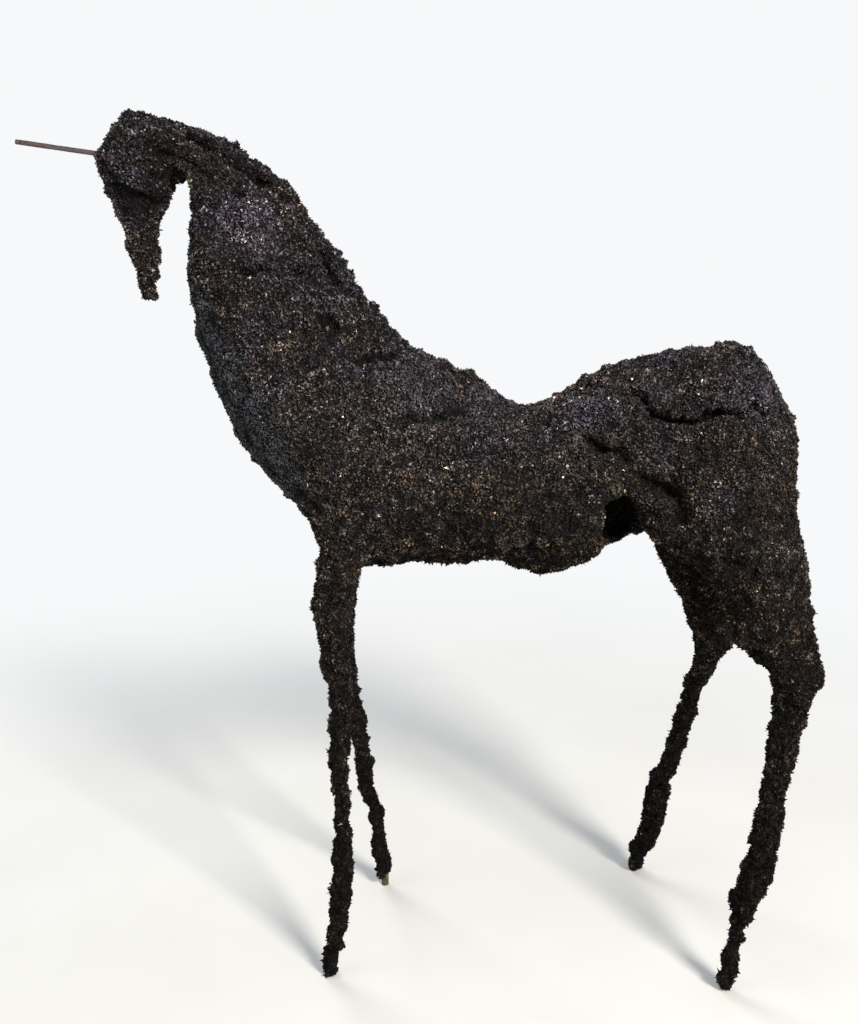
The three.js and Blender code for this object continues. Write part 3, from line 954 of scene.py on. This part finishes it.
# Cloudy blotches: how fine, how dark, how light
BLOTCHES = ((4.5, 0.72, 1.32), (16.0, 0.58, 1.54), (34.0, 0.62, 1.42), (90.0, 0.54, 1.53))

# Colour by height, as a share of the whole, painted light and shade: darker and warmer towards the feet,
# palest at the back, bluish above
PAINTED_LIGHT_BY_HEIGHT = [
    (0.10, (0.23, 0.215, 0.165)),
    (0.30, (0.52, 0.49, 0.38)),
    (0.44, (0.72, 0.67, 0.53)),
    (0.58, (1.14, 1.07, 0.87)),
    (0.69, (1.33, 1.25, 1.20)),
    (0.83, (1.08, 1.11, 1.18)),
    (0.93, (0.94, 0.95, 0.98)),
]

# Colours that a region is multiplied by: rust and blue are the scale's own colour, the lighter knobs, the
# glint and the darker underside are painted highlight and painted shade
RUSTY = (1.20, 1.00, 0.72)
BLUISH = (0.88, 0.94, 1.28)
# Painted highlight on the proud knobs low on the body
PAINTED_KNOB_LIGHT = (1.55, 1.50, 1.45)
# Painted highlight tint in the sheen patches
GLINT = (1.08, 1.02, 1.20)
# Painted shade, darker and warmer, on faces that look down
PAINTED_UNDERSIDE_SHADE = (0.95, 0.85, 0.55)

# Where the cloudy noise brings out rust, blue and the pale blue patches: noise, strength
RUST_CLOUDS = [(0.45, 0.0), (0.65, 0.90)]
BLUE_CLOUDS = [(0.50, 0.0), (0.68, 0.80)]
PALE_BLUE_CLOUDS = [(0.35, 0.15), (0.62, 0.62)]

# Colours painted over the scale: a painted sky reflection, pale blue patches, an even slate and painted
# shade
# Painted sky reflection on faces that look up
PAINTED_SKY_REFLECTION = (0.066, 0.068, 0.084)
PALE_BLUE = (0.100, 0.097, 0.117)
EVEN_SLATE = (0.042, 0.048, 0.054)
# Painted shade for gaps, clod valleys, folds and hollows
PAINTED_SHADE_COLOUR = (0.0025, 0.002, 0.0018)

DULL = 0.05  # how strongly the crust mirrors


def binder_material():
    """The dark matrix between the chips."""
    paint = Paint("dark_binder")
    paint.set(color=paint.ramp(paint.grains(210.0)["Color"], BINDER), roughness=0.85, metallic=0.0)
    paint.shader.inputs["Specular IOR Level"].default_value = DULL
    paint.bump(paint.noise(260.0), 0.6, 0.002)
    return paint.material


def chip_material():
    """Iron scale: brown-black, with grey, blue, olive and rusty chips and a few bright faces."""
    paint = Paint("iron_scale")
    # Sheens lift the tone: a painted highlight, and shinier chips
    lift = paint.math("MULTIPLY", paint.attribute("sheen"), SHEEN_LIFT)
    tone = paint.math("ADD", paint.attribute("tone"), lift)
    color = paint.ramp(tone, TONES)
    tint = paint.math("FRACT", paint.math("MULTIPLY", paint.attribute("tone"), TINT_ROUNDS), 0.0)
    color = paint.times(color, paint.ramp(tint, TINTS))
    for fineness, dark, light in BLOTCHES:
        color = paint.times(color, paint.ramp(paint.noise(fineness), [(0.32, dark), (0.70, light)]))
    rusty = paint.ramp(paint.noise(7.0, 2.0), RUST_CLOUDS)
    color = paint.mix(rusty, color, paint.times(color, RUSTY))
    bluish = paint.ramp(paint.noise(10.0, 2.0), BLUE_CLOUDS)
    color = paint.mix(bluish, color, paint.times(color, BLUISH))
    # Painted light and shade by height
    level = paint.math("MULTIPLY", paint.along("Z"), 1.0 / cad_box[1].z)
    color = paint.times(color, paint.ramp(level, PAINTED_LIGHT_BY_HEIGHT))
    # Painted highlight on the proud knobs
    color = paint.mix(paint.attribute("proud"), color, paint.times(color, PAINTED_KNOB_LIGHT))

    up = paint.up()
    # Painted sky reflection on faces that look up, strongest high on the body
    facing_sky = paint.math("MULTIPLY", up, paint.ramp(level, [(0.40, 0.35), (0.62, 1.0)]))
    color = paint.mix(paint.ramp(facing_sky, [(0.30, 0.0), (1.00, 0.60)]), color, PAINTED_SKY_REFLECTION)
    clouds = paint.ramp(paint.noise(22.0), PALE_BLUE_CLOUDS)
    color = paint.mix(paint.math("MULTIPLY", paint.attribute("pale_blue"), clouds), color, PALE_BLUE)
    color = paint.mix(paint.math("MULTIPLY", paint.attribute("slate"), 0.85), color, EVEN_SLATE)

    grain = paint.ramp(paint.grains(330.0)["Color"], [(0.0, 0.46), (1.0, 1.80)])
    color = paint.times(color, paint.mix(0.2, grain, paint.grains(280.0)["Color"]))
    # Painted highlight tint in the sheen patches
    color = paint.mix(paint.attribute("sheen"), color, paint.times(color, GLINT))
    # Painted shade, darker and warmer, on faces that look down
    under = paint.ramp(paint.math("MULTIPLY", up, -1.0), [(0.0, 0.0), (0.8, 0.7)])
    color = paint.mix(under, color, paint.times(color, PAINTED_UNDERSIDE_SHADE))
    # Painted shade in gaps, clod valleys, folds and hollows
    color = paint.mix(paint.math("MULTIPLY", paint.attribute("painted_shade"), 0.90), color, PAINTED_SHADE_COLOUR)
    paint.set(
        color=color,
        roughness=paint.ramp(tone, [(0.0, 0.75), (0.7, 0.55), (1.0, 0.42)]),
        metallic=paint.ramp(tone, [(0.6, 0.0), (1.0, 0.60)]),
    )
    paint.shader.inputs["Specular IOR Level"].default_value = DULL
    return paint.material


# Bars: colour of the steel, of its rust and of its pits, and how much of it is bare
HORN_STEEL = ((0.105, 0.092, 0.098), (0.06, 0.032, 0.022), (0.014, 0.009, 0.008), 0.46)
FOOT_STEEL = ((0.075, 0.062, 0.040), (0.085, 0.058, 0.026), (0.02, 0.014, 0.008), 0.45)


def steel_material(name, steel, rust, dark, bare):
    """Round bar with a dull skin, rust over part of it and dark pits."""
    paint = Paint(name)
    worn = paint.ramp(paint.noise(45.0, 4.0), [(bare - 0.12, 0.0), (bare + 0.12, 1.0)])
    pits = paint.ramp(paint.noise(160.0, 2.0), [(0.34, 1.0), (0.44, 0.0)])
    color = paint.mix(pits, paint.mix(worn, steel, rust), dark)
    roughness = paint.ramp(worn, [(0.0, 0.38), (1.0, 0.72)])
    paint.set(color=color, roughness=roughness, metallic=paint.ramp(worn, [(0.0, 0.8), (1.0, 0.15)]))
    paint.bump(paint.noise(300.0), 0.35, 0.0006)
    return paint.material


def dress(piece, material, slot, *nodes):
    """Gives a finished piece its material and its place in the frame."""
    piece.data.materials.clear()
    piece.data.materials.append(material)
    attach(piece, "root")
    if nodes:
        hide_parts(*nodes)


def round_bar(name, radius, root, tip, bevel):
    """A straight round bar from root to tip, cut square, with worn edges and a slightly uneven skin."""
    run = tip - root
    bpy.ops.object.select_all(action="DESELECT")
    bpy.ops.mesh.primitive_cylinder_add(
        vertices=BAR_SIDES,
        radius=radius,
        depth=run.length,
        location=(root + tip) / 2,
        rotation=run.to_track_quat("Z", "Y").to_euler(),
    )
    bar = bpy.context.object
    bar.name = name
    bpy.ops.object.transform_apply(location=True, rotation=True, scale=True)
    apply_modifier(bar, "BEVEL", width=bevel, segments=2, limit_method="ANGLE", angle_limit=math.radians(60))
    stretches = round(run.length / BAR_STEP)
    for step in range(1, stretches):
        take(bar)
        bpy.ops.object.mode_set(mode="EDIT")
        bpy.ops.mesh.select_all(action="SELECT")
        bpy.ops.mesh.bisect(plane_co=root + run * (step / stretches), plane_no=run.normalized())
        bpy.ops.object.mode_set(mode="OBJECT")
    lumps(bar, 0.006, 0.0006)
    take(bar)
    bpy.ops.object.shade_smooth_by_angle(angle=math.radians(40))
    return bar


def horn():
    root, tip = horn_line()
    bar = round_bar("horn_bar", HORN_DIAMETER / 2, root, tip, HORN_BEVEL)
    dress(bar, steel_material("horn_steel", *HORN_STEEL), "horn_steel", "horn")


def foot_bar():
    low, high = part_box("right_fore_foot_bar")
    x, y = (low.x + high.x) / 2, (low.y + high.y) / 2
    radius = (high.x - low.x) / 2
    bar = round_bar("foot_bar", radius, Vector((x, y, high.z)), Vector((x, y, 0.0)), FOOT_BEVEL)
    points = read_points(bar)
    points[:, 2] = np.maximum(points[:, 2], 0.0)
    move_points(bar, points)
    dress(bar, steel_material("bar_steel", *FOOT_STEEL), "bar_steel", "right_fore_foot_bar")


def crusted_body():
    bed = crust_bed()
    names = zones(bed, *weather(bed))
    chips = chip_shapes("chip_shapes", CHIP_SHAPES, CHIP_ROOT)
    thorns = chip_shapes("thorn_shapes", THORN_SHAPES, THORN_ROOT)
    scale = chip_material()
    for seed, name in enumerate(names, start=1):
        fine = scatter("chips_" + name, bed, "zone_" + name, chips, seed, *CHIPS_STREWN)
        dress(fine, scale, "chip_crust")
        coarse = scatter("thorns_" + name, bed, "thorny_" + name, thorns, seed + THORN_SEED, *THORNS_STREWN)
        dress(coarse, scale, "chip_crust")
    for kept in (chips, thorns):
        for shard in list(kept.objects):
            bpy.data.objects.remove(shard)
        bpy.data.collections.remove(kept)
    bed.vertex_groups.clear()
    take(bed)
    bpy.ops.object.shade_flat()
    dress(bed, binder_material(), "chip_crust", "body")


# The studio's lamps: name, place, what it points at, width, watts, colour
LAMPS = (
    ("key", (4.16, -5.76, 5.22), (0.0, 0.0, 0.9), 2.1, 1230.0, (1.0, 0.965, 0.92)),
    ("fill", (-4.0, -1.5, 2.6), (-0.1, 0.0, 1.0), 3.0, 50.0, (0.86, 0.92, 1.0)),
    ("back", (-3.4, 5.2, 4.6), (0.0, 0.0, 0.9), 3.6, 350.0, (0.94, 0.97, 1.0)),
)
FLOOR_SIZE = 400.0
FLOOR_TONES = [(0.3, (0.52, 0.505, 0.465)), (0.7, (0.565, 0.55, 0.51))]
FLOOR_FADE = (0.7, 3.2)  # between these distances the floor runs out into the surround
SURROUND_FADE = (0.24, 0.45)  # between these heights of view the surround darkens to the zenith


def pale_floor():
    """A pale floor that runs out into the even surround."""
    bpy.ops.object.select_all(action="DESELECT")
    bpy.ops.mesh.primitive_plane_add(size=FLOOR_SIZE, location=(0, 0, 0))
    floor = bpy.context.object
    floor.name = "floor"
    paint = Paint("pale_floor")
    length = paint.node("ShaderNodeVectorMath", operation="LENGTH")
    paint.feed(length.inputs[0], paint.place)
    distance = paint.node("ShaderNodeMapRange", interpolation_type="SMOOTHSTEP")
    paint.feed(distance.inputs["Value"], length.outputs["Value"])
    distance.inputs["From Min"].default_value = FLOOR_FADE[0]
    distance.inputs["From Max"].default_value = FLOOR_FADE[1]
    close = paint.ramp(paint.noise(1.3, 5.0), FLOOR_TONES)
    paint.set(color=paint.mix(distance.outputs[0], close, (0.0, 0.0, 0.0)), roughness=0.9)
    paint.shader.inputs["Specular IOR Level"].default_value = 0.0
    paint.shader.inputs["Emission Color"].default_value = (*SURROUND, 1)
    paint.feed(paint.shader.inputs["Emission Strength"], distance.outputs[0])
    floor.data.materials.append(paint.material)


def studio():
    """The floor, one broad key light, a weak fill, a light from behind and an even pale surround."""
    pale_floor()
    for name, place, aim, size, watts, color in LAMPS:
        lamp = bpy.data.objects.new(name, bpy.data.lights.new(name, "AREA"))
        lamp.data.size = size
        lamp.data.energy = watts
        lamp.data.color = color
        lamp.location = place
        lamp.rotation_euler = (Vector(aim) - Vector(place)).to_track_quat("-Z", "Y").to_euler()
        bpy.context.scene.collection.objects.link(lamp)

    world = bpy.data.worlds.new("surround")
    bpy.context.scene.world = world
    world.use_nodes = True
    tree = world.node_tree
    direction = tree.nodes.new("ShaderNodeTexCoord")
    parts = tree.nodes.new("ShaderNodeSeparateXYZ")
    fade = tree.nodes.new("ShaderNodeValToRGB")
    tree.links.new(direction.outputs["Generated"], parts.inputs[0])
    tree.links.new(parts.outputs["Z"], fade.inputs["Fac"])
    tree.links.new(fade.outputs["Color"], tree.nodes["Background"].inputs["Color"])
    for element, place, color in zip(fade.color_ramp.elements, SURROUND_FADE, (SURROUND, ZENITH)):
        element.position = place
        element.color = (*color, 1)
    bpy.context.scene.view_settings.view_transform = "Standard"


def camera():
    seen = bpy.data.objects.new("camera", bpy.data.cameras.new("camera"))
    seen.data.sensor_fit = "VERTICAL"
    seen.data.sensor_height = FILM
    seen.data.lens = LENS
    seen.location = EYE
    seen.rotation_euler = (math.radians(90 - LOOK_DOWN_DEG), 0, 0)
    bpy.context.scene.collection.objects.link(seen)
    bpy.context.scene.camera = seen


noise.seed_set(WAVER_SEED)
camera()
studio()
crusted_body()
horn()
foot_bar()
